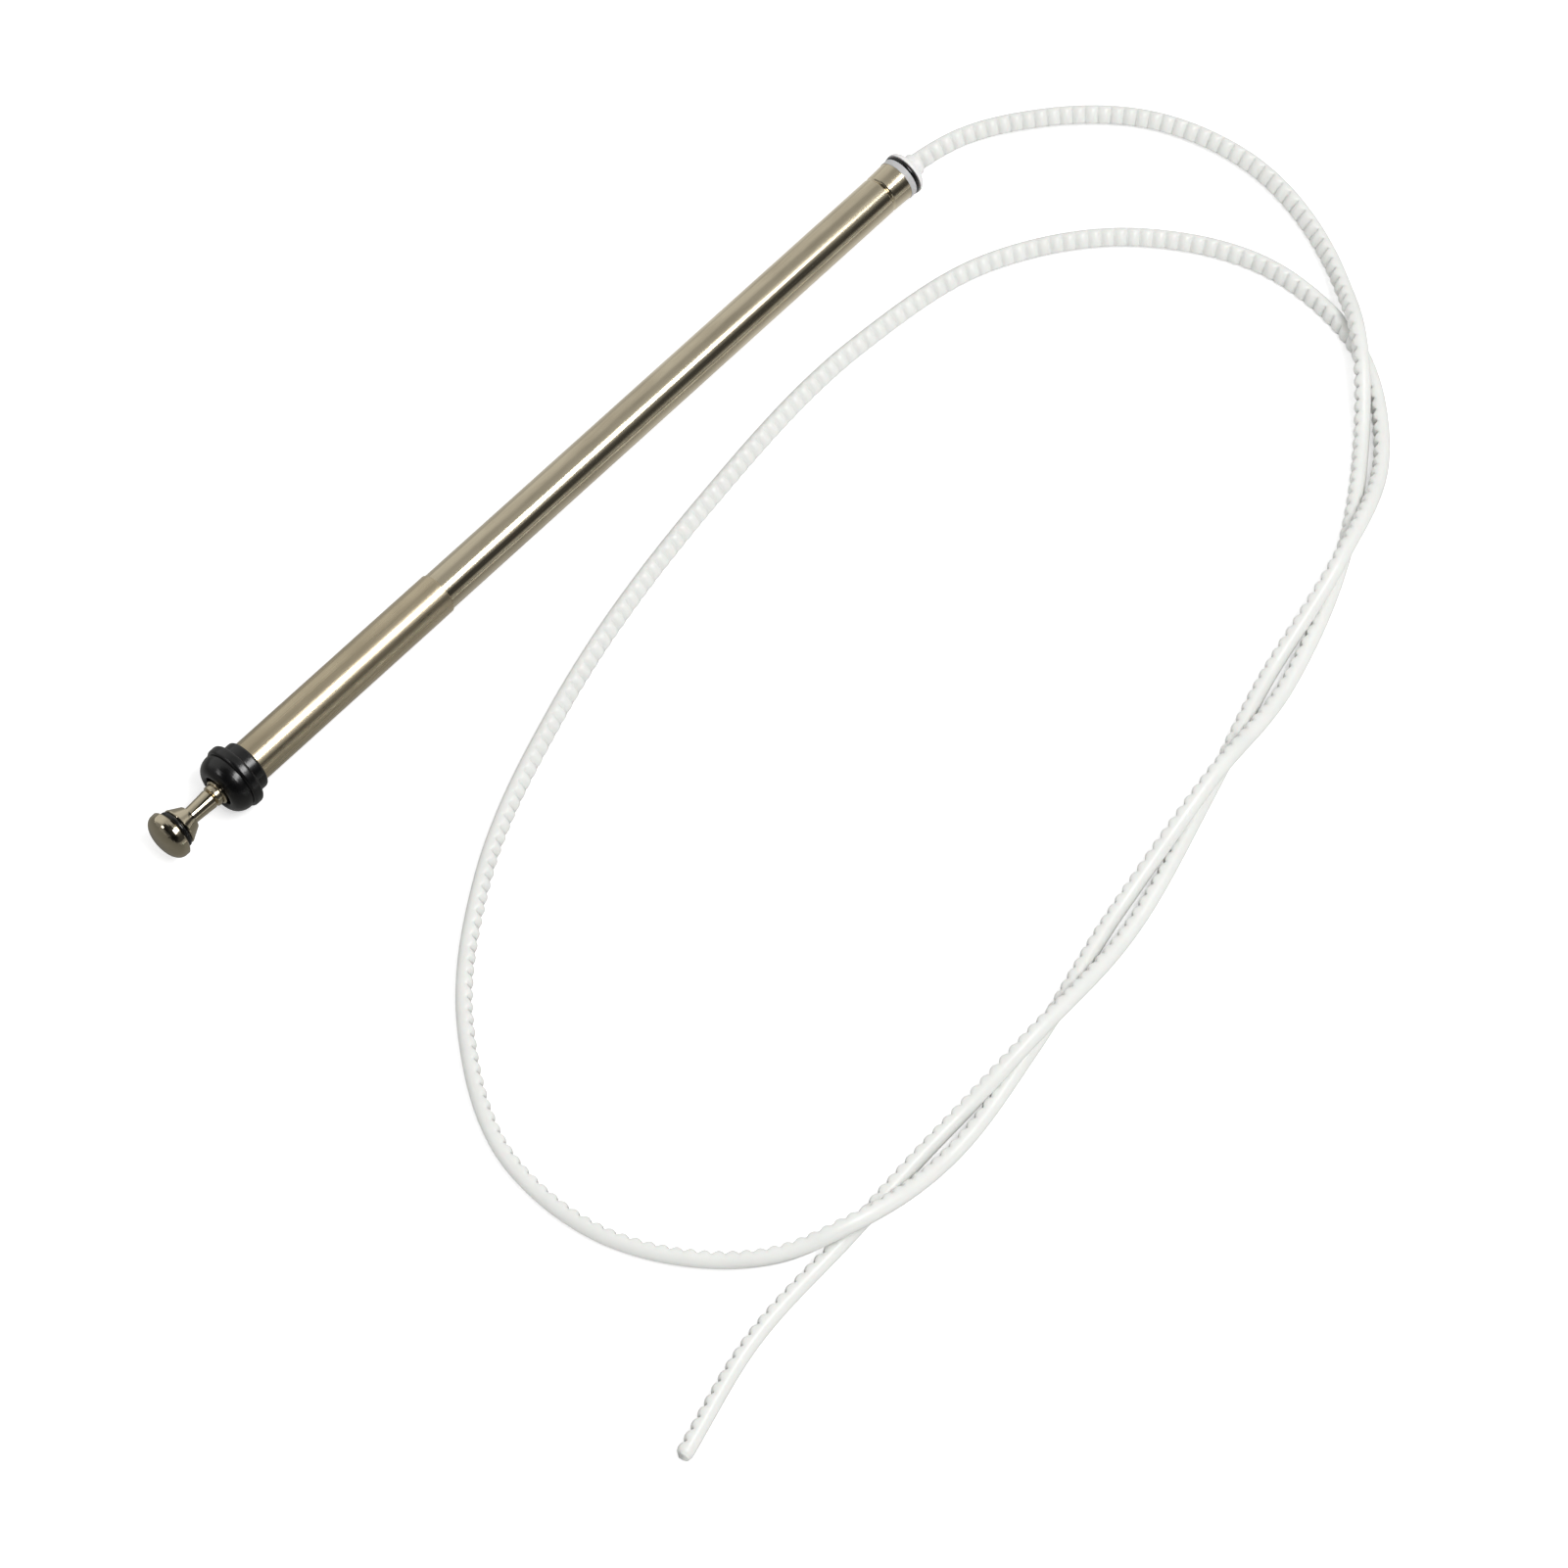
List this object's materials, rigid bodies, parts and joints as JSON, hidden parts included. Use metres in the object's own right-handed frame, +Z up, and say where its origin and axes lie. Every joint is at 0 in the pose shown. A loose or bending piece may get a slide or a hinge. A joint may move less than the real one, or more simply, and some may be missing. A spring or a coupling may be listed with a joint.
{
  "type": "car mast aerial",
  "caption": "Telescopic car aerial mast, retracted, with a domed tip button, black sliding seal, crimped nickel tube and a long free toothed plastic drive cable.",
  "frame": {"origin": "on the table, under the middle of the retracted mast's box, the cable left out", "axes": "+X along the mast toward its tip button; +Z up from the table; the cable's loop lies on the +Y side"},
  "size_m": [0.3398, 0.1968, 0.0163],
  "materials": {
    "nickel": "polished",
    "brass": "satin",
    "seal_rubber": "satin",
    "white_plastic": "gloss",
    "cable_nylon": "gloss"
  },
  "bodies": {
    "outer_tube": {"outer_tube": "nickel", "front_sleeve": "nickel", "seal_boot": "seal_rubber", "guide_bush": "white_plastic", "base_plug": "white_plastic", "base_o_ring": "seal_rubber", "base_collar": "white_plastic", "drive_cable": "cable_nylon"},
    "section_1": {"section_1_tube": "nickel", "section_1_foot": "brass", "section_1_spring": "brass"},
    "section_2": {"section_2_tube": "nickel", "section_2_foot": "brass", "section_2_spring": "brass"},
    "section_3": {"section_3_tube": "nickel", "section_3_foot": "brass", "section_3_spring": "brass"},
    "tip_rod": {"rod": "nickel", "rod_foot": "brass", "cable_anchor": "brass", "tip_ferrule": "nickel", "tip_button": "nickel", "tip_o_ring": "seal_rubber"}
  },
  "joints": [
    {"name": "section_1_slide", "type": "slide", "parent": "outer_tube", "child": "section_1", "axis": [0.9999, 0, 0.0113], "range_m": [0, 0.19]},
    {"name": "section_2_slide", "type": "slide", "parent": "section_1", "child": "section_2", "axis": [0.9999, 0, 0.0113], "range_m": [0, 0.2]},
    {"name": "section_3_slide", "type": "slide", "parent": "section_2", "child": "section_3", "axis": [0.9999, 0, 0.0113], "range_m": [0, 0.2]},
    {"name": "tip_slide", "type": "slide", "parent": "section_3", "child": "tip_rod", "axis": [0.9999, 0, 0.0113], "range_m": [0, 0.205]}
  ]
}
